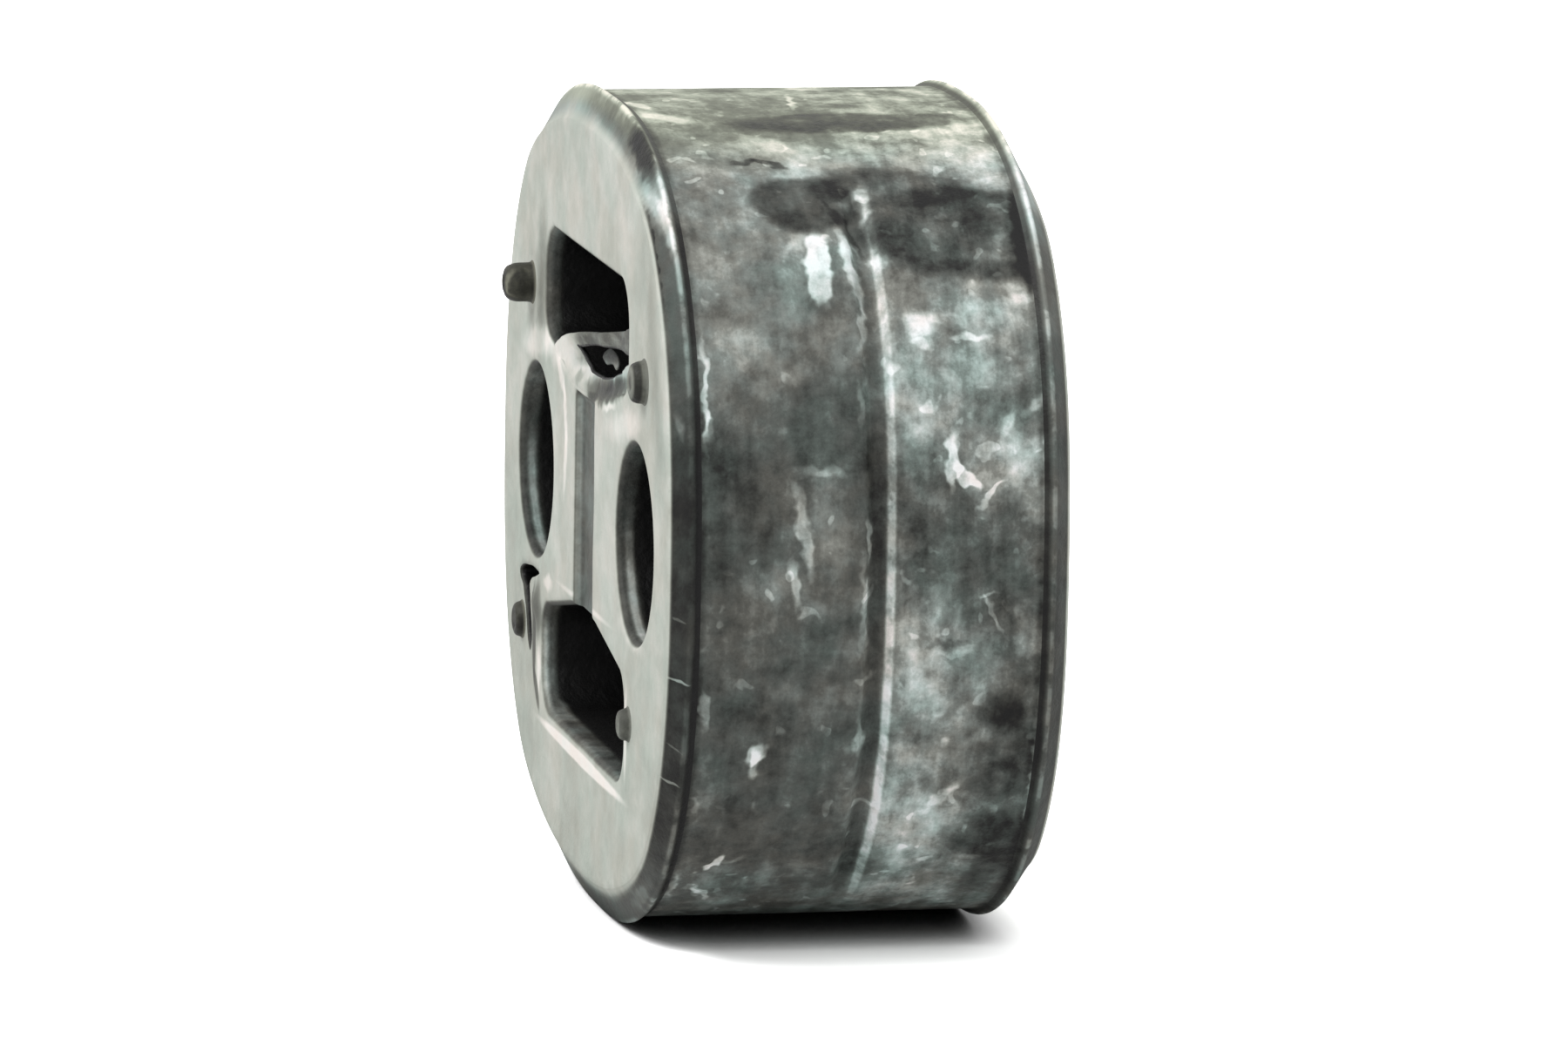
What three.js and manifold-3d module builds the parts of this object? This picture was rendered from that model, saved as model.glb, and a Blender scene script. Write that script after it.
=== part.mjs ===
import * as THREE from "three";
import { mergeVertices } from "three/addons/utils/BufferGeometryUtils.js";
import Module from "manifold-3d";

// Exhaust hanger rubber: one moulded block that stands on its rim.
// X runs along the line of the two rod holes, Y through the block from its front face, Z up.
// The origin is under the middle of the block, on the surface that it stands on.

// Driving dimensions, in millimetres.
const blockWidth = 62; // side to side, over the moulding lips
const blockHeight = 54.8; // bottom to top, over the moulding lips
const blockDepth = 26.4; // front face to back face
const rimSquareness = 2.5; // 2 is an ellipse, more is squarer
const chamferDepth = 1.25; // from each face to the lip, along the rim chamfer
const chamferInset = 1.5; // how far the flat face's edge stays inside the lip
const edgeBreak = 0.2; // softening of the flat face's edge
const lipCrest = 0.12; // width of the lip's top
const lipProud = 0.45; // lip above the band
const lipSlope = 0.5; // from the lip's crest down to the band
const grooveWidth = 2.1; // in the middle of the band, on both sides
const grooveDepth = 0.8;
const grooveReach = 21; // height above and below the middle that keeps its full depth
const grooveFade = 3; // length over which it then runs out

const boreDiameter = 12.9; // rod holes
const borePitch = 35.8;
const mouthRadius = 0.65; // rounded mouths of the holes and windows

const windowWidth = 29.8; // the two windows, above and below the web with the rod holes
const windowFlat = 8; // straight middle of a window's edge beside the web
const webCover = 1.25; // web above the rod holes' tops in the middle
const shoulderCover = 3.2; // the same at the window's sides
const beamHeight = 10.9; // rubber between a window and the outside
const innerCornerRadius = 2;
const waistRadius = 9;
const outerCornerRadius = 3;

const channelWidth = 7.6; // shallow channel across the web, on the front
const channelDepth = 0.7;
const channelSlope = 0.5;

const nibSpread = 4.9; // stubs that the moulding left on the front, outward from the windows' sides
const nibRise = 1.7; // from the windows' shoulders
const nibFoot = 0.3;
// How thick and how long each stub is, and how far it sits outward and up from the even place.
const nibs = [
  { side: -1, level: 1, diameter: 2.7, length: 2, out: 0, up: 0.55 },
  { side: 1, level: 1, diameter: 2.8, length: 1, out: 1.1, up: -0.25 },
  { side: -1, level: -1, diameter: 2.4, length: 0.6, out: 2.2, up: -0.4 },
  { side: 1, level: -1, diameter: 2.1, length: 0.7, out: -2.9, up: -0.75 },
];

const skinThickness = 0.4; // torn skin across part of the upper window
const skinRecess = 0.08; // skin behind the front face
const skinBite = 1.3; // skin inside the wall that holds it
const skinLead = 4; // from the window's left side to the skin
const skinRise = 1.7; // the skin's free edge above the web, at the left
const skinClimb = 4.4; // how much higher that edge is at the right
const strandWidth = 0.9; // strip between the free edge and the hole that is torn below it
const holeLead = 6.5; // from the skin's left end to the hole
const holeSag = 3; // how far the hole's lower side hangs below its ends
const tearLength = 5.5; // tear beside the lower left stub
const tearWidth = 1.2;
const tearHead = 3.6; // how much wider it opens towards the web
const tearDepth = 2.2;

// Places that follow from them.
const longestNib = Math.max(...nibs.map((nib) => nib.length));
const frontY = (longestNib - blockDepth) / 2;
const backY = frontY + blockDepth;
const middleY = (frontY + backY) / 2;
const middleZ = blockHeight / 2;
const boreRadius = boreDiameter / 2;
const windowSide = windowWidth / 2;
const windowInner = boreRadius + webCover;
const windowShoulder = boreRadius + shoulderCover;
const windowOuter = blockHeight / 2 - beamHeight;
const nibX = windowSide + nibSpread;
const nibZ = windowShoulder + nibRise;

// Fineness of the curved surfaces.
const rimSteps = 96;
const boreSteps = 40;
const nibSteps = 20;
const cornerSteps = 5;
const mouthSteps = 3;
const overshoot = 2; // how far a cutting tool stands out of the face that it cuts

const wasm = await Module();
wasm.setup();

// A closed geometry as a solid that can be joined and cut.
function solid(geometry) {
  geometry.deleteAttribute("normal");
  geometry.deleteAttribute("uv");
  const merged = mergeVertices(geometry, 1e-4);
  return new wasm.Manifold(
    new wasm.Mesh({
      numProp: 3,
      vertProperties: merged.attributes.position.array,
      triVerts: new Uint32Array(merged.index.array),
    }),
  );
}

// A solid as a geometry with flat shading.
function geometryOf(body) {
  const mesh = body.getMesh();
  const geometry = new THREE.BufferGeometry();
  geometry.setAttribute("position", new THREE.BufferAttribute(mesh.vertProperties, 3));
  geometry.setIndex(new THREE.BufferAttribute(mesh.triVerts, 1));
  const flat = geometry.toNonIndexed();
  flat.computeVertexNormals();
  return flat;
}

// Outlines are lists of a point and its outward normal, counter-clockwise as seen from the front.

// The block's outside, as a curve with evenly spaced points.
class RimCurve extends THREE.Curve {
  getPoint(share, target = new THREE.Vector3()) {
    const angle = share * 2 * Math.PI;
    const bend = (value) => Math.sign(value) * Math.abs(value) ** (2 / rimSquareness);
    return target.set(
      (blockWidth / 2) * bend(Math.cos(angle)),
      (blockHeight / 2) * bend(Math.sin(angle)),
      0,
    );
  }
}

function rimOutline() {
  const slope = (value, half) => (Math.sign(value) * Math.abs(value / half) ** (rimSquareness - 1)) / half;
  const points = new RimCurve().getSpacedPoints(rimSteps).slice(0, rimSteps);
  return points.map((at) => ({
    point: new THREE.Vector2(at.x, at.y),
    normal: new THREE.Vector2(slope(at.x, blockWidth / 2), slope(at.y, blockHeight / 2)).normalize(),
  }));
}

function circleOutline(x, z, radius, steps) {
  return Array.from({ length: steps }, (_, i) => {
    const angle = (i / steps) * 2 * Math.PI;
    const normal = new THREE.Vector2(Math.cos(angle), Math.sin(angle));
    return { point: normal.clone().multiplyScalar(radius).add(new THREE.Vector2(x, z)), normal };
  });
}

// A convex outline with a round at each corner, no larger than its straight edges leave room for.
function roundedOutline(corners) {
  return corners.flatMap(({ x, z, radius }, i) => {
    const corner = new THREE.Vector2(x, z);
    const before = corners[(i + corners.length - 1) % corners.length];
    const after = corners[(i + 1) % corners.length];
    const incoming = corner.clone().sub(new THREE.Vector2(before.x, before.z));
    const outgoing = new THREE.Vector2(after.x, after.z).sub(corner);
    const room = 0.45 * Math.min(incoming.length(), outgoing.length());
    incoming.normalize();
    outgoing.normalize();
    const turn = Math.atan2(incoming.cross(outgoing), incoming.dot(outgoing));
    const reach = Math.min(radius * Math.tan(turn / 2), room);
    const bend = reach / Math.tan(turn / 2);
    const start = corner.clone().addScaledVector(incoming, -reach);
    const centre = start.add(new THREE.Vector2(-incoming.y, incoming.x).multiplyScalar(bend));
    const first = Math.atan2(-incoming.x, incoming.y);
    return Array.from({ length: cornerSteps + 1 }, (_, k) => {
      const angle = first + (turn * k) / cornerSteps;
      const normal = new THREE.Vector2(Math.cos(angle), Math.sin(angle));
      return { point: centre.clone().addScaledVector(normal, bend), normal };
    });
  });
}

// A window's outline: level is 1 for the upper one and -1 for the lower one.
function windowOutline(level) {
  const half = [
    { x: windowFlat / 2, z: windowInner, radius: waistRadius },
    { x: windowSide, z: windowShoulder, radius: innerCornerRadius },
    { x: windowSide, z: windowOuter, radius: outerCornerRadius },
  ];
  const other = half.map(({ x, z, radius }) => ({ x: -x, z, radius })).reverse();
  const upper = [...half, ...other];
  return roundedOutline(upper.map(({ x, z, radius }) => ({ x: level * x, z: level * z, radius })));
}

// A ring of points at one depth, grown outward from an outline by a distance, or by a function of the point.
function ring(outline, y, grow) {
  return outline.map(({ point, normal }) => {
    const distance = typeof grow === "function" ? grow(point) : grow;
    return new THREE.Vector3(point.x + normal.x * distance, y, middleZ + point.y + normal.y * distance);
  });
}

// A closed solid through rings of equal length, listed from the front to the back.
function loft(rings) {
  const count = rings[0].length;
  const faces = [];
  for (let k = 0; k + 1 < rings.length; k += 1) {
    for (let i = 0; i < count; i += 1) {
      const next = (i + 1) % count;
      const [a, b] = [k * count + i, k * count + next];
      faces.push(a, a + count, b, b, a + count, b + count);
    }
  }
  const cap = (points) =>
    THREE.ShapeUtils.triangulateShape(points.map((at) => new THREE.Vector2(at.x, at.z)), []);
  const last = (rings.length - 1) * count;
  cap(rings[0]).forEach(([a, b, c]) => faces.push(a, b, c));
  cap(rings.at(-1)).forEach(([a, b, c]) => faces.push(last + a, last + c, last + b));
  const geometry = new THREE.BufferGeometry().setFromPoints(rings.flat());
  geometry.setIndex(faces);
  return solid(geometry);
}

// A flat plate parallel to the front face, from a shape drawn in X and Z about the block's middle.
function plate(shape, y, thickness) {
  const geometry = new THREE.ExtrudeGeometry(shape, { depth: thickness, bevelEnabled: false });
  geometry.rotateX(Math.PI / 2);
  geometry.translate(0, y + thickness, middleZ);
  return solid(geometry);
}

// How much of its full depth the side groove has at a height from the middle.
function grooveShare(z) {
  return 1 - THREE.MathUtils.smoothstep(Math.abs(z), grooveReach, grooveReach + grooveFade);
}

// The block with its chamfered rims, lips and side grooves, before the holes are cut.
function block() {
  const outline = rimOutline();
  const lipEnd = chamferDepth + lipCrest;
  // Depth from the face, and growth from the rim's outline.
  const rim = [
    [0, -chamferInset - edgeBreak],
    [edgeBreak, -chamferInset],
    [chamferDepth - lipCrest, -lipCrest],
    [chamferDepth, 0],
    [lipEnd, 0],
    [lipEnd + lipSlope, -lipProud],
  ];
  // Place across the groove, and share of its full depth.
  const groove = [
    [-0.5, 0],
    [-0.3, 0.85],
    [0.15, 1],
    [0.5, 0],
  ];
  const front = rim.map(([depth, grow]) => ring(outline, frontY + depth, grow));
  const middle = groove.map(([place, depth]) =>
    ring(outline, middleY + place * grooveWidth, (at) => -lipProud - depth * grooveDepth * grooveShare(at.y)),
  );
  const back = rim.map(([depth, grow]) => ring(outline, backY - depth, grow)).reverse();
  return loft([...front, ...middle, ...back]);
}

// A tool for a hole right through the block, with rounded mouths.
function passage(outline) {
  const flare = Array.from({ length: mouthSteps + 1 }, (_, k) => {
    const angle = (k / mouthSteps) * (Math.PI / 2);
    return [mouthRadius * (1 - Math.cos(angle)), mouthRadius * (1 - Math.sin(angle))];
  });
  return loft([
    ring(outline, frontY - overshoot, mouthRadius),
    ...flare.map(([along, grow]) => ring(outline, frontY + along, grow)),
    ...flare.map(([along, grow]) => ring(outline, backY - along, grow)).reverse(),
    ring(outline, backY + overshoot, mouthRadius),
  ]);
}

// A tool for the shallow channel between the windows.
function channel() {
  const section = new THREE.Shape();
  section.moveTo(-channelWidth / 2, frontY - overshoot);
  section.lineTo(channelWidth / 2, frontY - overshoot);
  section.lineTo(channelWidth / 2, frontY);
  section.lineTo(channelWidth / 2 - channelSlope, frontY + channelDepth);
  section.lineTo(-channelWidth / 2 + channelSlope, frontY + channelDepth);
  section.lineTo(-channelWidth / 2, frontY);
  const reach = windowInner + mouthRadius;
  const geometry = new THREE.ExtrudeGeometry(section, { depth: 2 * reach, bevelEnabled: false });
  geometry.translate(0, 0, middleZ - reach);
  return solid(geometry);
}

// A stub on the front face, with a small foot and a rounded tip.
function nib({ side, level, diameter, length, out, up }) {
  const outline = circleOutline(side * (nibX + out), level * nibZ + up, diameter / 2, nibSteps);
  const profile = [
    [-length, -nibFoot],
    [-length + nibFoot / 3, -nibFoot / 3],
    [-length + nibFoot, 0],
    [-nibFoot, 0],
    [-nibFoot / 3, nibFoot / 3],
    [nibFoot, nibFoot],
  ];
  return loft(profile.map(([along, grow]) => ring(outline, frontY + along, grow)));
}

// The thin skin that the moulding left in the upper window's inner corner, torn through below its free edge.
function tornSkin() {
  const left = -windowSide + skinLead;
  const right = windowSide + skinBite;
  const edge = (x) => windowInner + skinRise + (skinClimb * (x - left)) / (right - left);
  const shape = new THREE.Shape();
  shape.moveTo(left, windowInner - skinBite);
  shape.lineTo(windowFlat / 2, windowInner - skinBite);
  shape.lineTo(right, windowShoulder - skinBite);
  shape.lineTo(right, edge(right));
  shape.lineTo(left, edge(left));
  const holeLeft = left + holeLead;
  const holeRight = windowSide - skinThickness;
  const centre = (holeLeft + holeRight) / 2;
  const tip = edge(holeLeft) - strandWidth;
  const end = edge(holeRight) - 2 * strandWidth;
  const hole = new THREE.Path();
  hole.moveTo(holeLeft, tip);
  hole.quadraticCurveTo(centre, (tip + end) / 2 - holeSag, holeRight, end);
  hole.quadraticCurveTo(centre, edge(centre) - strandWidth / 2, holeLeft, tip);
  shape.holes.push(hole);
  return plate(shape, frontY + skinRecess, skinThickness);
}

// A tool for the tear in the face, from the web down past the inner side of the lower left stub.
function tear() {
  const right = -windowSide - nibSpread + tearWidth / 2;
  const left = right - tearWidth;
  const top = -windowInner + tearWidth / 3;
  const bottom = top - tearLength;
  const neck = top - tearHead / 2;
  const shape = new THREE.Shape();
  shape.moveTo(right + tearHead - tearWidth, top);
  shape.lineTo(right - tearWidth / 2, neck + tearWidth / 3);
  shape.lineTo(right - tearWidth, neck - tearWidth / 2);
  shape.lineTo(right, neck - tearHead / 2);
  shape.lineTo(right, bottom + tearWidth / 2);
  shape.lineTo(right - tearWidth / 2, bottom);
  shape.lineTo(left, bottom + tearWidth);
  shape.lineTo(left - tearWidth / 2, neck - tearWidth / 2);
  shape.lineTo(left - tearHead / 2, neck);
  shape.lineTo(left, top - tearWidth / 2);
  return plate(shape, frontY - overshoot, overshoot + tearDepth);
}

function rubber() {
  const holes = [
    passage(circleOutline(-borePitch / 2, 0, boreRadius, boreSteps)),
    passage(circleOutline(borePitch / 2, 0, boreRadius, boreSteps)),
    passage(windowOutline(1)),
    passage(windowOutline(-1)),
    channel(),
  ];
  const cut = holes.reduce((body, hole) => body.subtract(hole), block());
  const dressed = nibs.reduce((body, one) => body.add(nib(one)), cut.add(tornSkin()));
  const mesh = new THREE.Mesh(
    geometryOf(dressed.subtract(tear())),
    new THREE.MeshStandardMaterial({ color: 0x55564f, roughness: 0.75, metalness: 0 }),
  );
  mesh.name = "rubber_block";
  return mesh;
}

const hanger = new THREE.Group();
hanger.add(rubber());

export default hanger;
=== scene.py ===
import math

import bpy
import numpy as np
from mathutils import Matrix, Vector, geometry, noise


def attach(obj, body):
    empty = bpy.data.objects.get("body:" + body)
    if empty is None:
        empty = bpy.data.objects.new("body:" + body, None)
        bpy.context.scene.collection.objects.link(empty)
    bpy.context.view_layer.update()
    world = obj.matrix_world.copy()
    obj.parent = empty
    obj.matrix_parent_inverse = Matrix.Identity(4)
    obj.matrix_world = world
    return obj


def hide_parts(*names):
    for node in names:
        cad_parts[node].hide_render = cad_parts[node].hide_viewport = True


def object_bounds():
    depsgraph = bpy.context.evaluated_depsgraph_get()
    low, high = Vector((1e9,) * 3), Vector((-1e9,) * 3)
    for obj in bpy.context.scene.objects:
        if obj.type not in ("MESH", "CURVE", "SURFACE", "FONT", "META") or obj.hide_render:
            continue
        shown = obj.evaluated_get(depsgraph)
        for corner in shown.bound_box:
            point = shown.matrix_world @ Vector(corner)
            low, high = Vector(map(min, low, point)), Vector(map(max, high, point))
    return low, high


# The looks of an exhaust hanger rubber: its moulded shape in a fine mesh, its bloomed and smeared surface, and the
# studio. Lengths are in millimetres here and become metres when a mesh is made.

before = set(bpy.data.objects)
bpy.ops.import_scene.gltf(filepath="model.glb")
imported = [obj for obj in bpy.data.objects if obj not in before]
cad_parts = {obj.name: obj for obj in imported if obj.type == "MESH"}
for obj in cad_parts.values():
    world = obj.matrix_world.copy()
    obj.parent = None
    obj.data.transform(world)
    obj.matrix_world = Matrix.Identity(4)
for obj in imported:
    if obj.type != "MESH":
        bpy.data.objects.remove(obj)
cad_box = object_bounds()

MM = 0.001

# The solid's own sizes.
BLOCK_WIDTH = 62
BLOCK_HEIGHT = 54.8
BLOCK_DEPTH = 26.4
RIM_SQUARENESS = 2.5
CHAMFER_DEPTH = 1.25
CHAMFER_INSET = 1.5
EDGE_BREAK = 0.2
LIP_CREST = 0.12
LIP_PROUD = 0.45
LIP_SLOPE = 0.5
GROOVE_WIDTH = 2.1
GROOVE_DEPTH = 0.8
GROOVE_REACH = 21
GROOVE_FADE = 3
BORE_RADIUS = 6.45
BORE_PITCH = 35.8
MOUTH_RADIUS = 0.65
WINDOW_SIDE = 14.9
WINDOW_FLAT = 8
WINDOW_INNER = 7.7
WINDOW_SHOULDER = 9.65
WINDOW_OUTER = 16.5
INNER_CORNER_RADIUS = 2
WAIST_RADIUS = 9
OUTER_CORNER_RADIUS = 3
CHANNEL_WIDTH = 7.6
CHANNEL_DEPTH = 0.7
CHANNEL_SLOPE = 0.5
NIB_FOOT = 0.15
# Where each stub is in X and Z about the middle, its radius and how far it stands out.
NIBS = [
    (-19.8, 11.9, 1.35, 2.0),
    (20.9, 11.1, 1.4, 1.0),
    (-22.0, -11.75, 1.2, 0.6),
    (16.9, -12.1, 1.05, 0.7),
]
SKIN_LEFT = -10.9
SKIN_RIGHT = 16.2
SKIN_BITE = 1.3
SKIN_RISE = 1.7
SKIN_CLIMB = 4.4
SKIN_THICKNESS = 0.4
TEAR_DEPTH = 2.2
FRONT = -12.2  # Y of the front face
BACK = FRONT + BLOCK_DEPTH
MIDDLE_Z = BLOCK_HEIGHT / 2

GROOVE_SHIFT = 0.6  # how much further back the groove lies than the solid's
TORN_DEPTH = 0.3  # of the torn place below the skin
FACE_HALF_WIDTH = 29  # of the faces' flat part
FACE_HALF_HEIGHT = 25.4
ALONG_RADIUS = 28.0  # turns an angle round the rim into a length along it

# How far from each face the rim's material reaches, just over the crease behind the lip.
RIM_REACH = 2.0

# Fineness, in millimetres between points.
RIM_POINTS = 420
FACE_STEP = 0.55
WALL_STEP = 0.5
ROW_SHARE = 0.87  # between the rows of a grid of even triangles, in steps
BORE_POINTS = 80
NIB_POINTS = 32
PASSAGE_RINGS = 26
MOUTH_RINGS = 8

# The materials' numbers on the block, and on the skin.
BAND, FACE, STUB, TEAR, RIM = range(5)
SKIN, SKIN_HOLE = range(2)


def fade(value, low, high):
    """0 below low, 1 above high, smooth between."""
    t = np.clip((value - low) / (high - low), 0, 1)
    return t * t * (3 - 2 * t)


def rough(points, size, seed=0):
    """Smooth noise from -1 to 1 at each point, with features of about that size."""
    return np.array([noise.noise(Vector(p) / size + Vector((seed, 2 * seed, 0))) for p in points])


# Outlines are pairs of arrays, points and outward normals in X and Z about the block's middle, counter-clockwise from
# the front.


def rim_outline():
    """The block's rim, between an ellipse and a rectangle, with evenly spaced points."""
    angle = np.linspace(0, 2 * math.pi, 20001)
    x, z = (
        half * np.sign(wave) * np.abs(wave) ** (2 / RIM_SQUARENESS)
        for half, wave in ((BLOCK_WIDTH / 2, np.cos(angle)), (BLOCK_HEIGHT / 2, np.sin(angle)))
    )
    length = np.concatenate([[0], np.cumsum(np.hypot(np.diff(x), np.diff(z)))])
    at = np.linspace(0, length[-1], RIM_POINTS, endpoint=False)
    points = np.column_stack([np.interp(at, length, x), np.interp(at, length, z)])
    halves = np.array([BLOCK_WIDTH / 2, BLOCK_HEIGHT / 2])
    slopes = np.sign(points) * np.abs(points / halves) ** (RIM_SQUARENESS - 1) / halves
    return points, slopes / np.linalg.norm(slopes, axis=1)[:, None]


def circle(x, z, radius, count):
    angle = np.linspace(0, 2 * math.pi, count, endpoint=False)
    normals = np.column_stack([np.cos(angle), np.sin(angle)])
    return normals * radius + [x, z], normals


def rounded(corners):
    """A convex outline with a round at each corner (x, z, radius)."""
    points, normals = [], []
    for i, (x, z, radius) in enumerate(corners):
        corner = np.array([x, z], float)
        incoming = corner - corners[i - 1][:2]
        outgoing = np.array(corners[(i + 1) % len(corners)][:2]) - corner
        room = 0.45 * min(np.linalg.norm(incoming), np.linalg.norm(outgoing))
        incoming /= np.linalg.norm(incoming)
        outgoing /= np.linalg.norm(outgoing)
        turn = math.atan2(incoming[0] * outgoing[1] - incoming[1] * outgoing[0], incoming @ outgoing)
        reach = min(radius * math.tan(turn / 2), room)
        bend = reach / math.tan(turn / 2)
        centre = corner - incoming * reach + np.array([-incoming[1], incoming[0]]) * bend
        first = math.atan2(-incoming[0], incoming[1])
        steps = max(4, math.ceil(turn * bend / 0.3))
        for k in range(steps + 1):
            angle = first + turn * k / steps
            normals.append([math.cos(angle), math.sin(angle)])
            points.append(centre + np.array(normals[-1]) * bend)
    return fill_straights(np.array(points), np.array(normals))


def fill_straights(points, normals):
    """The same outline with its long edges divided."""
    new_points, new_normals = [], []
    for i in range(len(points)):
        j = (i + 1) % len(points)
        parts = max(1, round(np.linalg.norm(points[j] - points[i]) / WALL_STEP))
        for k in range(parts):
            share = k / parts
            normal = normals[i] * (1 - share) + normals[j] * share
            new_points.append(points[i] * (1 - share) + points[j] * share)
            new_normals.append(normal / np.linalg.norm(normal))
    return np.array(new_points), np.array(new_normals)


def window(level):
    """The upper window for level 1, and the lower one for -1."""
    half = [
        (WINDOW_FLAT / 2, WINDOW_INNER, WAIST_RADIUS),
        (WINDOW_SIDE, WINDOW_SHOULDER, INNER_CORNER_RADIUS),
        (WINDOW_SIDE, WINDOW_OUTER, OUTER_CORNER_RADIUS),
    ]
    upper = half + [(-x, z, radius) for x, z, radius in reversed(half)]
    return rounded([(level * x, level * z, radius) for x, z, radius in upper])


def softened(profile, times=2):
    """A profile with its corners cut, ends kept."""
    for _ in range(times):
        cut = [profile[0]]
        for a, b in zip(profile, profile[1:]):
            a, b = np.array(a, float), np.array(b, float)
            cut += [a * 0.75 + b * 0.25, a * 0.25 + b * 0.75]
        profile = cut + [profile[-1]]
    return [tuple(p) for p in profile]


def ring(outline, y, grow=0.0):
    """An outline's points at depth Y, moved outward by grow."""
    points, normals = outline
    grown = points + normals * np.broadcast_to(grow, len(points))[:, None]
    return np.column_stack([grown[:, 0], np.full(len(grown), float(y)), MIDDLE_Z + grown[:, 1]])


def flattened(points):
    """The same points moved to Y 0, so that noise on them doesn't change through the block."""
    return points * [1, 0, 1]


def sunken(points):
    """How deep the channel between the windows and the torn place below the skin lie under the front face."""
    x, z = points[:, 0], points[:, 2] - MIDDLE_Z
    across = np.clip((CHANNEL_WIDTH / 2 - np.abs(x)) / CHANNEL_SLOPE, 0, 1)
    channel = np.where(np.abs(z) < WINDOW_SHOULDER, CHANNEL_DEPTH * across * across * (3 - 2 * across), 0)
    channel *= 1 - fade(z, 6.2, 7.2)  # it runs out under the torn place
    low = 6.6 + 0.25 * np.maximum(x - 1, 0)
    high = 9.0 + 0.1 * x
    torn = fade(z, low - 0.3, low + 0.5) * (1 - fade(z, high, high + 0.8))
    torn = torn * fade(x, -0.5, 1.5) * (1 - fade(x, 12, 14))
    return channel + TORN_DEPTH * torn * np.clip(0.5 + 0.9 * rough(flattened(points), 2.2, 31), 0, 1)


class Shell:
    """Points and faces of one mesh."""

    def __init__(self):
        self.points, self.faces, self.kinds = [], [], []

    def add(self, points):
        start = len(self.points)
        self.points.extend(np.asarray(points, float).tolist())
        return list(range(start, len(self.points)))

    def mark(self, kind):
        """Gives the faces made since the last mark a material's number."""
        self.kinds += [kind] * (len(self.faces) - len(self.kinds))

    def join(self, a, b):
        """Quads between two closed loops of equal length."""
        for i in range(len(a)):
            j = (i + 1) % len(a)
            self.faces.append((a[i], b[i], b[j], a[j]))

    def join_all(self, loops):
        for a, b in zip(loops, loops[1:]):
            self.join(a, b)

    def cap(self, loop, middle):
        """A fan that closes a loop."""
        centre = self.add([middle])[0]
        for i in range(len(loop)):
            self.faces.append((loop[i], loop[(i + 1) % len(loop)], centre))

    def sheet(self, outside, holes, height, from_front=True, step=FACE_STEP, lines=None):
        """A face inside the outside loop and round the holes.

        height gives Y for points of X and Z, and lines are extra points of X and Z.
        """
        loops = [outside, *holes]
        flat = [np.array([[self.points[k][0], self.points[k][2]] for k in loop]) for loop in loops]
        edge = np.vstack(flat)
        low, high = edge.min(0), edge.max(0)
        rows = np.arange(low[1], high[1], step * ROW_SHARE)
        grid = np.array(
            [
                (x + (0.5 * step if r % 2 else 0), z)
                for r, z in enumerate(rows)
                for x in np.arange(low[0], high[0], step)
            ]
        )
        if lines is not None:
            clear = [np.min(np.sum((lines - p) ** 2, 1)) > (0.45 * step) ** 2 for p in grid]
            grid = np.vstack([grid[clear], lines])
        keep = inside(grid, flat[0])
        for hole in flat[1:]:
            keep &= ~inside(grid, hole)
        grid = grid[keep]
        near = np.array([np.min(np.sum((edge - p) ** 2, 1)) for p in grid])
        grid = grid[near > (0.5 * step) ** 2]
        new = self.add(np.column_stack([grid[:, 0], height(grid), grid[:, 1]]))
        names = [k for loop in loops for k in loop] + new
        edges, start = [], 0
        for loop in loops:
            count = len(loop)
            edges += [(start + i, start + (i + 1) % count) for i in range(count)]
            start += count
        everything = [Vector(p) for p in np.vstack([edge, grid])]
        points, _, faces, origin, _, _ = geometry.delaunay_2d_cdt(everything, edges, [], 0, 1e-6)
        middles = np.array([np.mean([points[i] for i in face], axis=0) for face in faces])
        keep = inside(middles, flat[0])
        for hole in flat[1:]:
            keep &= ~inside(middles, hole)
        for face, wanted in zip(faces, keep):
            if wanted:
                loop = [names[origin[i][0]] for i in face]
                self.faces.append(tuple(loop if from_front else reversed(loop)))

    def piece(self, name, materials):
        """The object, with no point outside the solid's box."""
        points = np.array(self.points)
        low, high = (np.array(corner) / MM for corner in cad_box)
        points = np.clip(points, low, high)
        mesh = bpy.data.meshes.new(name)
        mesh.from_pydata((points * MM).tolist(), [], self.faces)
        for material in materials:
            mesh.materials.append(material)
        mesh.polygons.foreach_set("material_index", self.kinds)
        mesh.validate()
        mesh.polygons.foreach_set("use_smooth", [True] * len(mesh.polygons))
        mesh.update()
        made = bpy.data.objects.new(name, mesh)
        bpy.context.scene.collection.objects.link(made)
        return made


def inside(points, polygon):
    """Whether each point is inside a polygon."""
    found = np.zeros(len(points), bool)
    x, z = points[:, 0], points[:, 1]
    for (ax, az), (bx, bz) in zip(polygon, np.roll(polygon, -1, axis=0)):
        if az != bz:
            found ^= ((az > z) != (bz > z)) & (x < (bx - ax) * (z - az) / (bz - az) + ax)
    return found


def groove_share(z):
    """How much of the groove's depth there is at a height about the middle."""
    return 1 - fade(np.abs(z), GROOVE_REACH, GROOVE_REACH + GROOVE_FADE)


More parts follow.
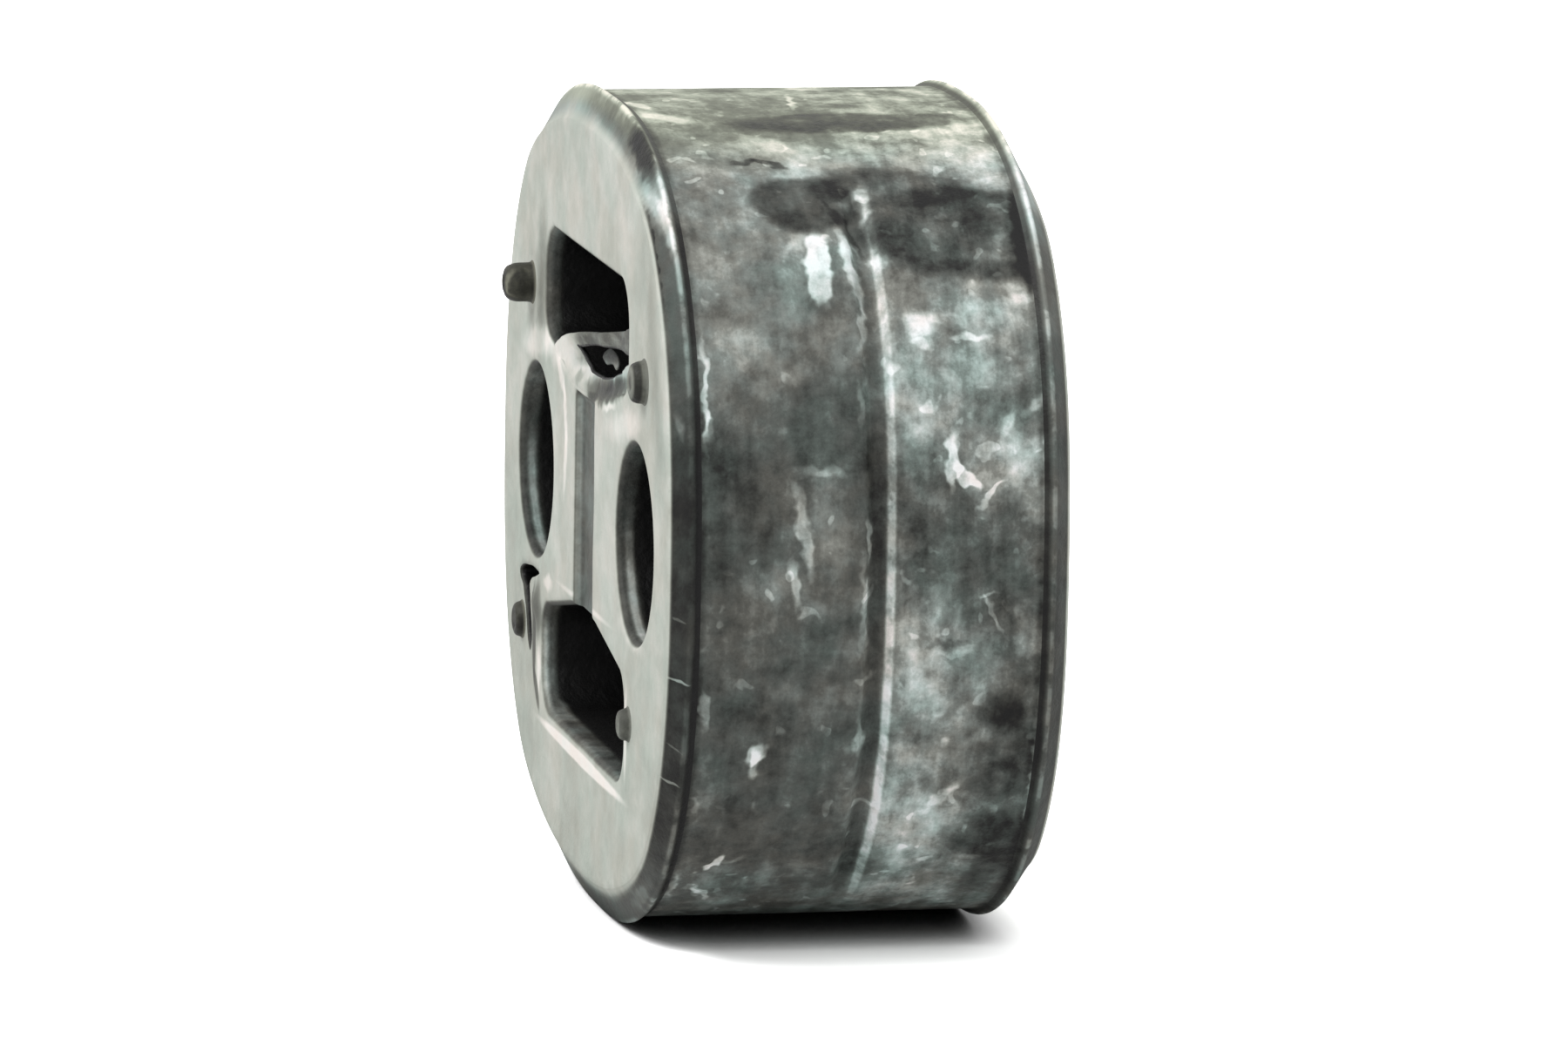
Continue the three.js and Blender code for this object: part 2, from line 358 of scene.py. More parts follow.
def outside_loops(shell):
    """Rings from the front face's edge over the chamfer, lip, band and groove to the back face's edge."""
    outline = rim_outline()
    lip_end = CHAMFER_DEPTH + LIP_CREST
    rim = softened(
        [
            (0, -CHAMFER_INSET - EDGE_BREAK),
            (EDGE_BREAK, -CHAMFER_INSET),
            (CHAMFER_DEPTH - LIP_CREST, -LIP_CREST),
            (CHAMFER_DEPTH, 0),
            (lip_end, 0),
            (lip_end + LIP_SLOPE, -LIP_PROUD),
            (lip_end + LIP_SLOPE + 0.4, -LIP_PROUD),
        ]
    )
    middle = BLOCK_DEPTH / 2 + GROOVE_SHIFT
    places = ((-0.8, 0), (-0.5, 0), (-0.3, 0.85), (0.15, 1), (0.5, 0), (0.8, 0))
    groove = softened([(middle + place * GROOVE_WIDTH, share) for place, share in places])
    profile = [(depth, grow, 0) for depth, grow in rim]
    profile += [(depth, -LIP_PROUD, 0) for depth in np.arange(rim[-1][0] + WALL_STEP, groove[0][0] - 0.2, WALL_STEP)]
    profile += [(depth, -LIP_PROUD, share) for depth, share in groove]
    profile += [
        (depth, -LIP_PROUD, 0)
        for depth in np.arange(groove[-1][0] + WALL_STEP, BLOCK_DEPTH - rim[-1][0] - 0.2, WALL_STEP)
    ]
    profile += [(BLOCK_DEPTH - depth, grow, 0) for depth, grow in reversed(rim)]
    # The chamfers are wider at the top and bottom.
    spread = 0.8 + 0.6 * fade(np.abs(outline[0][:, 1]) / MIDDLE_Z, 0.75, 1)
    loops, kinds = [], []
    for depth, grow, share in profile:
        wide = spread if min(depth, BLOCK_DEPTH - depth) < CHAMFER_DEPTH else 1
        out = grow * wide - share * GROOVE_DEPTH * groove_share(outline[0][:, 1])
        at = ring(outline, FRONT + depth, out)
        # The lips are moulded a little unevenly.
        crest = max(0.0, 1 - abs(grow) / 0.3)
        out = out - crest * 0.03 * (1 + rough(at, 3.0, 3))
        loops.append(shell.add(ring(outline, FRONT + depth, out)))
        kinds.append(BAND if RIM_REACH < depth < BLOCK_DEPTH - RIM_REACH else RIM)
    for a, b, kind in zip(loops, loops[1:], kinds):
        shell.join(a, b)
        shell.mark(kind)
    return loops[0], loops[-1]


def passage_loops(shell, outline):
    """A hole right through the block, with rounded mouths."""
    flare = [
        (MOUTH_RADIUS * (1 - math.cos(a)), MOUTH_RADIUS * (1 - math.sin(a)))
        for a in np.linspace(0, math.pi / 2, MOUTH_RINGS)
    ]
    depths = np.linspace(MOUTH_RADIUS, BLOCK_DEPTH - MOUTH_RADIUS, PASSAGE_RINGS)
    profile = flare + [(depth, 0) for depth in depths[1:-1]]
    profile += [(BLOCK_DEPTH - depth, grow) for depth, grow in reversed(flare)]
    loops = []
    for depth, grow in profile:
        at = ring(outline, FRONT + depth, grow)
        at[:, 1] = np.maximum(at[:, 1], FRONT + sunken(at))
        loops.append(shell.add(at))
    shell.join_all(loops[::-1])
    return loops[0], loops[-1]


def nib_loop(shell, x, z, radius, length):
    """A stub on the front face, with a small foot and a rounded tip. Returns the loop at its foot."""
    outline = circle(x, z, radius, NIB_POINTS)
    tip = min(0.75, 0.6 * length)
    profile = softened(
        [
            (0, NIB_FOOT),
            (-0.1, 0.05),
            (-0.2, 0),
            (-length + tip, 0),
            (-length + 0.25 * tip, -0.3 * tip),
            (-length, -tip),
        ]
    )
    loops = []
    for along, grow in profile:
        at = ring(outline, FRONT + along, grow)
        wave = rough(at, 0.9, 5) * 0.07 * min(1.0, -along / 0.4)
        loops.append(shell.add(ring(outline, FRONT + along, grow + wave)))
    for share, dip in ((0.75, 0.03), (0.5, 0.08), (0.25, 0.06)):
        at = ring(circle(x, z, (radius - tip) * share, NIB_POINTS), FRONT - length + dip)
        at[:, 1] += 0.06 * (rough(at, 0.5, 8) + 0.5)
        loops.append(shell.add(at))
    shell.join_all(loops[::-1])
    shell.cap(loops[-1], (x, FRONT - length + 0.08, MIDDLE_Z + z))
    return loops[0]


def tear_loop(shell):
    """The tear in the face beside the lower left stub. Returns the loop at its edge."""
    corners = [
        (-15.8, -7.55),
        (-17.2, -8.0),
        (-18.6, -8.35),
        (-19.3, -8.9),
        (-19.0, -9.6),
        (-18.7, -10.4),
        (-18.3, -11.4),
        (-18.1, -12.5),
        (-18.8, -13.4),
        (-19.8, -12.7),
        (-20.3, -11.6),
        (-20.75, -10.6),
        (-21.3, -9.9),
        (-21.7, -9.3),
        (-22.7, -8.9),
        (-22.9, -8.4),
        (-22.0, -7.95),
        (-21.1, -7.75),
        (-19.8, -7.6),
        (-18.5, -7.45),
        (-17.0, -7.45),
    ]
    points = smooth_path(corners[::-1], 0.4)
    loops = []
    for depth in np.linspace(0, TEAR_DEPTH, 6):
        at = ring((points, np.zeros_like(points)), FRONT + depth)
        if depth == 0:
            at[:, 1] = front_height(at[:, ::2])
        loops.append(shell.add(at))
    shell.join_all(loops[::-1])
    shell.sheet(loops[-1], [], lambda grid: np.full(len(grid), FRONT + TEAR_DEPTH))
    return loops[0]


def upright(grid):
    """Points of X and Z as points of X, Y and Z, with Y 0."""
    return np.column_stack([grid[:, 0], np.zeros(len(grid)), grid[:, 1]])


def flat_share(grid):
    """1 over most of a face, and 0 at its edge, so that the edge stays even."""
    x, z = grid[:, 0], grid[:, 1] - MIDDLE_Z
    return 1 - fade(np.hypot(x / FACE_HALF_WIDTH, z / FACE_HALF_HEIGHT), 0.93, 1)


def front_height(grid):
    """Y of the front face at points of X and Z, with what is sunken, the flap at the tear and a slight unevenness."""
    at = upright(grid)
    x, z = grid[:, 0], grid[:, 1] - MIDDLE_Z
    flap = 0.3 * np.exp(-(((x + 16.7) / 1.2) ** 2) - ((z + 9.7) / 0.9) ** 2)
    return FRONT + sunken(at) - flap + 0.05 * flat_share(grid) * rough(at, 5.0, 11)


def back_height(grid):
    """Y of the back face at points of X and Z, slightly uneven."""
    return BACK - 0.04 * flat_share(grid) * (1 + rough(upright(grid), 6.0, 17))


def make_block(unlit):
    """The whole block in one mesh. unlit is the material inside the tear."""
    shell = Shell()
    front_edge, back_edge = outside_loops(shell)
    outlines = [
        circle(-BORE_PITCH / 2, 0, BORE_RADIUS, BORE_POINTS),
        circle(BORE_PITCH / 2, 0, BORE_RADIUS, BORE_POINTS),
        window(1),
        window(-1),
    ]
    mouths = [passage_loops(shell, outline) for outline in outlines]
    shell.mark(FACE)
    feet = [nib_loop(shell, *nib) for nib in NIBS]
    shell.mark(STUB)
    tear = tear_loop(shell)
    shell.mark(TEAR)
    # Points along the channel's sides keep its edges straight.
    half = CHANNEL_WIDTH / 2
    lines = [
        (side * (half - inset * CHANNEL_SLOPE), MIDDLE_Z + z)
        for side in (-1, 1)
        for inset in (0, 0.5, 1)
        for z in np.arange(-9, 7.5, 0.35)
    ]
    holes = [mouth[0] for mouth in mouths] + feet + [tear]
    shell.sheet(front_edge, holes, front_height, lines=np.array(lines))
    shell.sheet(back_edge, [mouth[1] for mouth in mouths], back_height, from_front=False, step=0.9)
    shell.mark(FACE)
    materials = [band_material(), face_material(), stub_material(), unlit, rim_material()]
    return shell.piece("rubber_moulding", materials)


def skin_edge(x):
    """Height of the torn skin's free edge."""
    return WINDOW_INNER + SKIN_RISE + SKIN_CLIMB * (x - SKIN_LEFT) / (SKIN_RIGHT - SKIN_LEFT)


def smooth_path(corners, step=0.3):
    """Points along a closed smooth curve through the corners."""
    corners = np.array(corners, float)
    made = []
    for i in range(len(corners)):
        a, b, c, d = (corners[(i + k) % len(corners)] for k in (-1, 0, 1, 2))
        parts = max(2, round(np.linalg.norm(c - b) / step))
        for t in np.arange(parts) / parts:
            made.append(
                0.5 * (2 * b + (c - a) * t + (2 * a - 5 * b + 4 * c - d) * t**2 + (3 * b - a - 3 * c + d) * t**3)
            )
    return np.array(made)


def thin_sheet(shell, outer, holes, height, thickness, step=0.35):
    """A closed thin sheet with rounded edges. height gives Y of its front for points of X and Z."""
    sides = []
    for path in (outer, *holes):
        at = np.column_stack([path[:, 0], np.zeros(len(path)), MIDDLE_Z + path[:, 1]])
        forward = np.roll(path, -1, axis=0) - np.roll(path, 1, axis=0)
        normals = np.column_stack([forward[:, 1], -forward[:, 0]]) / np.linalg.norm(forward, axis=1)[:, None]
        if path is not outer:
            normals = -normals
        y = height(at[:, ::2])
        loops = []
        for share, grow in ((0, 0.0), (0.2, 0.1), (0.5, 0.15), (0.8, 0.1), (1, 0.0)):
            grown = at.copy()
            grown[:, ::2] += normals * grow
            grown[:, 1] = y + share * thickness
            loops.append(shell.add(grown))
        sides.append(loops)
        shell.join_all(loops if path is outer else loops[::-1])
        shell.mark(SKIN if path is outer else SKIN_HOLE)
    shell.sheet(sides[0][0], [side[0] for side in sides[1:]], height, step=step)
    shell.sheet(
        sides[0][-1],
        [side[-1] for side in sides[1:]],
        lambda grid: height(grid) + thickness,
        from_front=False,
        step=step,
    )
    shell.mark(SKIN)


def make_skin(unlit):
    """The torn skin in the upper window's inner corner, with a hole below its free edge and a scrap in it."""
    outer = smooth_path(
        [
            (-10.6, 7.9),
            (-9.0, 6.9),
            (-2, WINDOW_INNER - SKIN_BITE),
            (4, WINDOW_INNER - SKIN_BITE),
            (10, WINDOW_SHOULDER - SKIN_BITE - 0.9),
            (15.5, WINDOW_SHOULDER - SKIN_BITE),
            (SKIN_RIGHT, WINDOW_SHOULDER + 0.4),
            (SKIN_RIGHT, 12.2),
            (15.6, skin_edge(15.6)),
            (11, skin_edge(11) - 0.1),
            (5, skin_edge(5) - 0.1),
            (-1, skin_edge(-1) + 0.05),
            (-5, skin_edge(-5) + 0.05),
            (-8.2, skin_edge(-8.2)),
            (-10.6, skin_edge(-10.6) - 0.35),
            (-11.3, 8.7),
        ]
    )
    hole = smooth_path(
        [
            (-4.2, 9.85),
            (-2.6, 9.55),
            (-0.4, 9.1),
            (1.9, 8.7),
            (5.8, 9.0),
            (9.8, 9.9),
            (12.4, 10.75),
            (14.0, 11.3),
            (14.2, 11.75),
            (12.0, 11.75),
            (8.8, 11.6),
            (5.0, 11.2),
            (1.0, 10.7),
            (-2.2, 10.15),
        ]
    )
    scrap = smooth_path(
        [
            (0.6, 9.75),
            (2.2, 9.6),
            (3.9, 9.85),
            (5.2, 9.65),
            (5.6, 9.9),
            (4.4, 10.25),
            (2.8, 10.4),
            (1.2, 10.2),
        ],
        0.25,
    )

    def skin_height(grid):
        x, z = grid[:, 0], grid[:, 1] - MIDDLE_Z
        rise = np.clip((z - WINDOW_INNER) / (skin_edge(x) - WINDOW_INNER), 0, 1)
        slope = (WINDOW_SHOULDER - WINDOW_INNER) / (WINDOW_SIDE - WINDOW_FLAT / 2)
        mouth = WINDOW_INNER - MOUTH_RADIUS + slope * np.maximum(np.abs(x) - WINDOW_FLAT / 2, 0)
        buried = 0.5 * (1 - fade(z, mouth - 0.5, mouth))
        dish = 0.3 * np.sin(math.pi * rise) * fade(x, SKIN_LEFT, -4)
        lean = 0.4 * fade(x, 2, 14) * fade(rise, 0.55, 1.0)
        twist = 0.18 * np.sin(0.8 * x) * fade(rise, 0.6, 0.9) * fade(x, -5, 0)
        uneven = 0.07 * fade(rise, 0, 0.3) * rough(upright(grid), 1.1, 23)
        return FRONT + 0.03 + buried + dish + lean + twist + uneven + sunken(upright(grid))

    def scrap_height(grid):
        x, z = grid[:, 0], grid[:, 1] - MIDDLE_Z
        return FRONT + 1.0 + 0.3 * fade(z, 9.5, 10.6) + 0.05 * np.sin(1.6 * x)

    shell = Shell()
    thin_sheet(shell, outer, [hole], skin_height, SKIN_THICKNESS)
    thin_sheet(shell, scrap, [], scrap_height, 0.2, step=0.25)
    return shell.piece("torn_skin", [skin_material(), unlit])


class Graph:
    """A short way to write shader nodes. Inputs are numbers, tuples or other nodes' outputs."""

    def __init__(self, material):
        material.use_nodes = True
        self.tree = material.node_tree
        self.tree.nodes.clear()

    def add(self, kind, inputs=(), **settings):
        node = self.tree.nodes.new(kind)
        for name, value in settings.items():
            setattr(node, name, value)
        for key, value in dict(inputs).items():
            socket = node.inputs[key]
            if isinstance(value, bpy.types.NodeSocket):
                self.tree.links.new(value, socket)
            else:
                socket.default_value = value
        return node

    def math(self, operation, *values):
        return self.add("ShaderNodeMath", enumerate(values), operation=operation).outputs[0]

    def vector(self, operation, *values):
        node = self.add("ShaderNodeVectorMath", enumerate(values), operation=operation)
        return node.outputs["Value" if operation == "LENGTH" else "Vector"]

    def smooth(self, value, low, high, out_low=0.0, out_high=1.0):
        sockets = {"Value": value, "From Min": low, "From Max": high, "To Min": out_low, "To Max": out_high}
        node = self.add("ShaderNodeMapRange", sockets, interpolation_type="SMOOTHSTEP")
        return node.outputs["Result"]

    def noise(self, vector, scale, detail=2.0, roughness=0.5, distortion=0.0):
        sockets = {"Vector": vector, "Scale": scale, "Detail": detail, "Roughness": roughness}
        return self.add("ShaderNodeTexNoise", {**sockets, "Distortion": distortion}).outputs

    def mix(self, share, a, b, blend="MIX"):
        node = self.add("ShaderNodeMix", {0: share, 6: a, 7: b}, data_type="RGBA", blend_type=blend)
        return node.outputs[2]

    def ramp(self, value, stops):
        node = self.add("ShaderNodeValToRGB", {"Fac": value})
        elements = node.color_ramp.elements
        while len(elements) < len(stops):
            elements.new(0.5)
        for element, (at, colour) in zip(elements, stops):
            element.position = at
            element.color = (*colour, 1)
        return node.outputs["Color"]


def strokes_on(graph, where, strokes, level):
    """Adds soft strokes to a bloom level.

    A stroke is its two ends, its half width, how much it changes the level and how soft it is.
    """
    for start_a, start_b, end_a, end_b, half_width, change, soft in strokes:
        half_length = math.hypot(end_a - start_a, end_b - start_b) / 2 + 0.6 * half_width
        sockets = {
            "Vector": where,
            "Location": ((start_a + end_a) / 2, (start_b + end_b) / 2, 0),
            "Rotation": (0, 0, math.atan2(end_b - start_b, end_a - start_a)),
            "Scale": (half_length, half_width, 1),
        }
        placed = graph.add("ShaderNodeMapping", sockets, vector_type="TEXTURE").outputs[0]
        reach = graph.vector("LENGTH", placed)
        spot = graph.smooth(reach, 1 + soft, 1 - soft, 0.0, change)
        level = graph.math("ADD", level, spot)
    return level


# Large soft marks on the band. Along is measured round the rim from the right-hand middle, positive upwards, and
# across is the depth from the front. Each is along, across, along, across, half width, change, softness.
BAND_CLOUDS = [
    (35.3, 9.6, 36.0, 22.8, 2.0, -0.24, 0.14),  # brownish lens near the top
    (36.0, 5.6, 35.0, 22.0, 3.8, -0.06, 0.4),
    (34.5, 10.5, 34.8, 20.0, 1.0, -0.10, 0.5),
    (30.4, 10.2, 29.7, 24.0, 1.5, 0.10, 0.5),
    (25.2, 8.6, 25.4, 12.4, 2.5, -0.36, 0.14),  # wide dark smear
    (26.8, 12.0, 26.0, 22.0, 1.7, -0.26, 0.3),
    (23.2, 15.8, 22.3, 25.4, 3.8, -0.36, 0.12),
    (22.8, 14.5, 22.3, 25.0, 2.2, -0.08, 0.6),
    (6.5, 10.0, 1.1, 10.5, 1.3, 0.12, 0.6),
    (7.2, 21.8, 7.7, 24.3, 1.3, 0.14, 0.5),
    (1.0, 16.5, 0.4, 24.0, 4.2, -0.18, 0.5),
    (-7.9, 15.7, -8.0, 19.7, 3.4, 0.06, 0.6),
    (-13.0, 18.0, -23.0, 18.5, 3.6, 0.09, 0.6),
    (33.0, 3.0, 28.0, 4.5, 2.6, -0.06, 0.6),
    (-18.1, 4.6, -18.2, 8.4, 1.2, 0.10, 0.6),
    (-9.3, 21.2, -9.4, 22.8, 1.4, -0.26, 0.4),  # dark patches at the lower right
    (-14.5, 21.4, -14.5, 24.0, 1.6, -0.28, 0.4),
    (-19.6, 21.0, -19.8, 25.0, 2.8, -0.34, 0.35),
    (-25.8, 16.0, -26.1, 23.5, 2.6, 0.06, 0.6),
    (2.4, 2.6, 1.2, 7.2, 1.8, -0.10, 0.6),
    (0.0, 3.0, -16.0, 6.0, 3.6, -0.05, 0.7),
    (24.0, 24.6, 19.5, 24.8, 1.2, -0.14, 0.5),
    (76.0, 5.0, 74.0, 14.0, 3.5, -0.22, 0.4),  # smears on the far side
    (-70.0, 15.0, -72.0, 20.0, 3.5, -0.20, 0.5),
]

# Smaller marks on the band, laid out as the clouds.
BAND_STROKES = [
    (44.5, 13.4, 39.2, 12.9, 0.25, 0.30, 0.5),
    (37.5, 3.0, 36.0, 5.2, 0.7, 0.24, 0.5),
    (42.0, 2.2, 40.0, 3.0, 0.5, 0.22, 0.5),
    (32.9, 8.3, 30.4, 11.0, 0.7, 0.12, 0.6),
    (29.4, 6.7, 29.7, 8.2, 0.28, -0.32, 0.4),  # thin dark arc
    (29.7, 8.2, 28.9, 9.9, 0.28, -0.32, 0.4),
    (19.7, 15.1, 19.6, 24.4, 0.8, -0.14, 0.5),
    (26.5, 25.0, 19.4, 24.2, 0.8, -0.34, 0.4),
    (25.0, 12.9, 26.6, 14.5, 0.5, 0.28, 0.5),  # pale swirl
    (26.1, 14.2, 23.9, 14.2, 0.4, 0.20, 0.5),
    (24.3, 14.2, 21.8, 14.5, 0.22, 0.12, 0.5),
    (25.2, 11.8, 21.2, 13.8, 0.3, -0.16, 0.5),
    (22.3, 10.7, 17.8, 10.5, 0.85, 0.44, 0.2),  # cream petal
    (21.5, 8.8, 22.4, 10.0, 0.45, 0.16, 0.5),
    (22.4, 12.4, 17.5, 13.2, 0.4, 0.30, 0.4),
    (17.4, 13.2, 14.7, 12.9, 0.28, 0.22, 0.5),
    (16.1, 16.0, 16.2, 17.6, 0.75, 0.22, 0.4),
    (14.9, 16.4, 15.0, 17.2, 0.4, 0.22, 0.4),
    (15.2, 18.8, 15.2, 20.9, 0.3, 0.24, 0.4),
    (17.6, 23.0, 18.1, 24.5, 0.4, 0.20, 0.5),
    (14.8, 2.4, 8.9, 2.3, 0.2, 0.34, 0.5),
    (10.4, 2.4, 9.1, 2.6, 0.35, 0.28, 0.4),
    (5.5, 8.3, 0.0, 9.2, 0.4, 0.34, 0.4),  # cream streaks
    (0.4, 8.1, -2.2, 8.3, 0.32, 0.30, 0.4),
    (6.8, 8.2, 6.7, 11.4, 0.3, 0.20, 0.5),
    (12.1, 12.4, 9.5, 12.5, 0.28, 0.18, 0.5),
    (3.8, 13.0, 0.8, 13.1, 0.22, 0.28, 0.4),
    (0.6, 12.7, -5.2, 12.8, 0.28, 0.20, 0.5),
    (8.7, 18.5, 5.6, 18.4, 0.45, 0.42, 0.25),  # white three-cornered mark
    (7.0, 18.7, 5.5, 19.9, 0.4, 0.42, 0.25),
    (4.3, 20.2, 5.8, 21.8, 0.2, 0.30, 0.4),
    (9.1, 21.8, 10.6, 22.6, 0.4, 0.20, 0.5),
    (10.3, 23.6, 11.3, 24.4, 0.4, 0.26, 0.5),
    (-1.5, 20.7, -4.0, 21.8, 0.2, 0.26, 0.4),  # scratches
    (-1.4, 20.3, -1.5, 21.3, 0.16, 0.22, 0.4),
    (-5.1, 17.1, -4.9, 19.7, 0.2, -0.14, 0.5),
    (-5.6, 17.4, -5.5, 19.6, 0.2, 0.12, 0.5),
    (-17.0, 17.6, -14.8, 19.7, 0.34, 0.22, 0.5),
    (-8.1, 2.4, -10.2, 2.6, 0.3, 0.30, 0.4),  # flecks
    (-12.8, 5.6, -11.9, 6.3, 0.5, 0.44, 0.3),
    (-12.3, 6.1, -13.8, 6.1, 0.35, 0.36, 0.4),
    (-22.3, 4.0, -21.1, 5.0, 0.3, 0.50, 0.3),
    (-26.0, 2.3, -23.1, 2.3, 0.3, 0.30, 0.5),
    (-24.5, 3.8, -26.5, 4.8, 0.35, 0.30, 0.4),
    (-10.3, 12.6, -12.6, 13.2, 0.35, 0.30, 0.4),
    (-10.8, 24.3, -19.5, 25.0, 0.2, 0.30, 0.5),
    (90.0, 14.0, 84.0, 19.0, 0.4, 0.30, 0.4),
    (98.0, 7.0, 95.0, 8.0, 0.5, 0.26, 0.5),
]

# Marks on the front chamfer, laid out as those on the band.
RIM_STROKES = [
    (-7.2, 0.0, -7.2, 1.3, 0.1, 0.50, 0.4),
    (-14.4, 0.1, -14.4, 1.2, 0.1, 0.46, 0.4),
    (-11.8, 0.4, -12.0, 1.0, 0.1, 0.26, 0.4),
    (-3.0, 0.4, -3.1, 0.9, 0.08, 0.24, 0.4),
    (34.0, 1.0, 28.4, 0.95, 0.4, -0.52, 0.4),  # dark patch
    (43.0, 0.5, 33.0, 0.4, 0.5, -0.20, 0.6),
    (27.4, 0.5, 21.2, 1.2, 0.35, 0.22, 0.5),  # white streak
    (26.0, 1.0, 21.0, 1.1, 0.25, 0.18, 0.5),
    (27.0, 0.15, 18.0, 0.2, 0.14, -0.28, 0.5),
    (10.4, 0.6, 9.0, 0.8, 0.2, 0.20, 0.5),
    (-24.0, 0.7, -30.0, 0.8, 0.3, 0.20, 0.5),
]

# Marks on the front face, in X and Z about the middle, laid out as the strokes above.
FACE_STROKES = [
    # The first five are painted highlights: glare on the face above the bores and along the left bore's right rim.
    (-21.5, 7.6, -12.5, 8.8, 1.0, 0.14, 0.5),  # bright places
    (-10.0, 8.2, -7.3, 6.2, 0.6, 0.14, 0.5),
    (-7.3, 6.2, -6.4, 3.2, 0.5, 0.14, 0.5),
    (-6.4, 3.2, -6.8, -0.4, 0.5, 0.12, 0.5),
    (9.5, 6.4, 19.5, 8.2, 0.9, 0.10, 0.6),
    (14.7, -5.8, 20.8, -6.4, 0.7, 0.10, 0.6),
    (-13.3, 8.7, -1.0, 9.0, 1.2, 0.12, 0.6),
    (-13.5, -7.8, -11.5, -7.5, 0.5, 0.14, 0.5),
    (-9.0, 0.0, 9.0, 0.0, 8.5, 0.04, 0.6),
    (27.2, 4.0, 22.0, 18.5, 1.7, -0.09, 0.8),
    # Painted shade on the face just left of the upper window's edge.
    (-16.2, 9.5, -16.2, 15.5, 1.5, -0.22, 0.9),
    # The torn place below the skin is darkened both as torn rubber and as painted shade under the skin.
    (0.8, 7.7, 4.0, 8.0, 0.6, -0.34, 0.7),  # torn place below the skin
    (4.0, 8.0, 7.6, 8.5, 0.75, -0.58, 0.7),
    (7.6, 8.6, 12.6, 9.5, 0.7, -0.58, 0.7),
    (1.2, 6.9, 3.0, 7.2, 0.5, -0.40, 0.6),
    (6.8, 7.4, 10.5, 8.0, 0.3, 0.16, 0.6),
    (-3.4, 7.7, -1.5, 8.3, 0.35, -0.14, 0.6),
]

# Cleaner ones round the lower window: painted highlights on its lower and inner edges, a pale line down each side,
# and painted shade down its left side, on the face.
FACE_LINES = [
    (-13.0, -17.45, 13.5, -17.5, 0.42, 0.34, 0.35),
    (15.95, -10.5, 16.0, -15.5, 0.4, 0.18, 0.5),
    (-15.7, -13.0, -15.7, -15.6, 0.5, 0.14, 0.5),
    (-16.0, -8.9, -16.0, -11.2, 0.9, -0.34, 0.7),
    (-7.0, -7.0, 8.6, -6.8, 0.22, 0.14, 0.5),
    (-17.3, -9.2, -17.3, -14.6, 0.6, -0.42, 0.4),
    (-17.3, -14.6, -15.6, -16.6, 0.5, -0.36, 0.4),
]

# Marks on the stubs' ends, laid out as those on the face.
STUB_STROKES = [
    (-20.4, 11.9, -19.6, 11.9, 1.0, -0.14, 0.3),
    # A painted highlight down the upper left stub's end.
    (-19.0, 12.6, -19.0, 11.2, 0.25, 0.36, 0.5),
    (16.9, -11.6, 16.9, -12.6, 0.5, 0.14, 0.4),
]

# The rubber's colour at each bloom level, from bare and unlit to white.
TONES = [
    (0.00, (0.0015, 0.0015, 0.0015)),
    (0.08, (0.008, 0.008, 0.007)),
    (0.18, (0.028, 0.031, 0.028)),
    (0.38, (0.085, 0.092, 0.086)),
    (0.58, (0.200, 0.222, 0.212)),
    (0.78, (0.440, 0.490, 0.480)),
    (1.00, (0.820, 0.830, 0.860)),
]


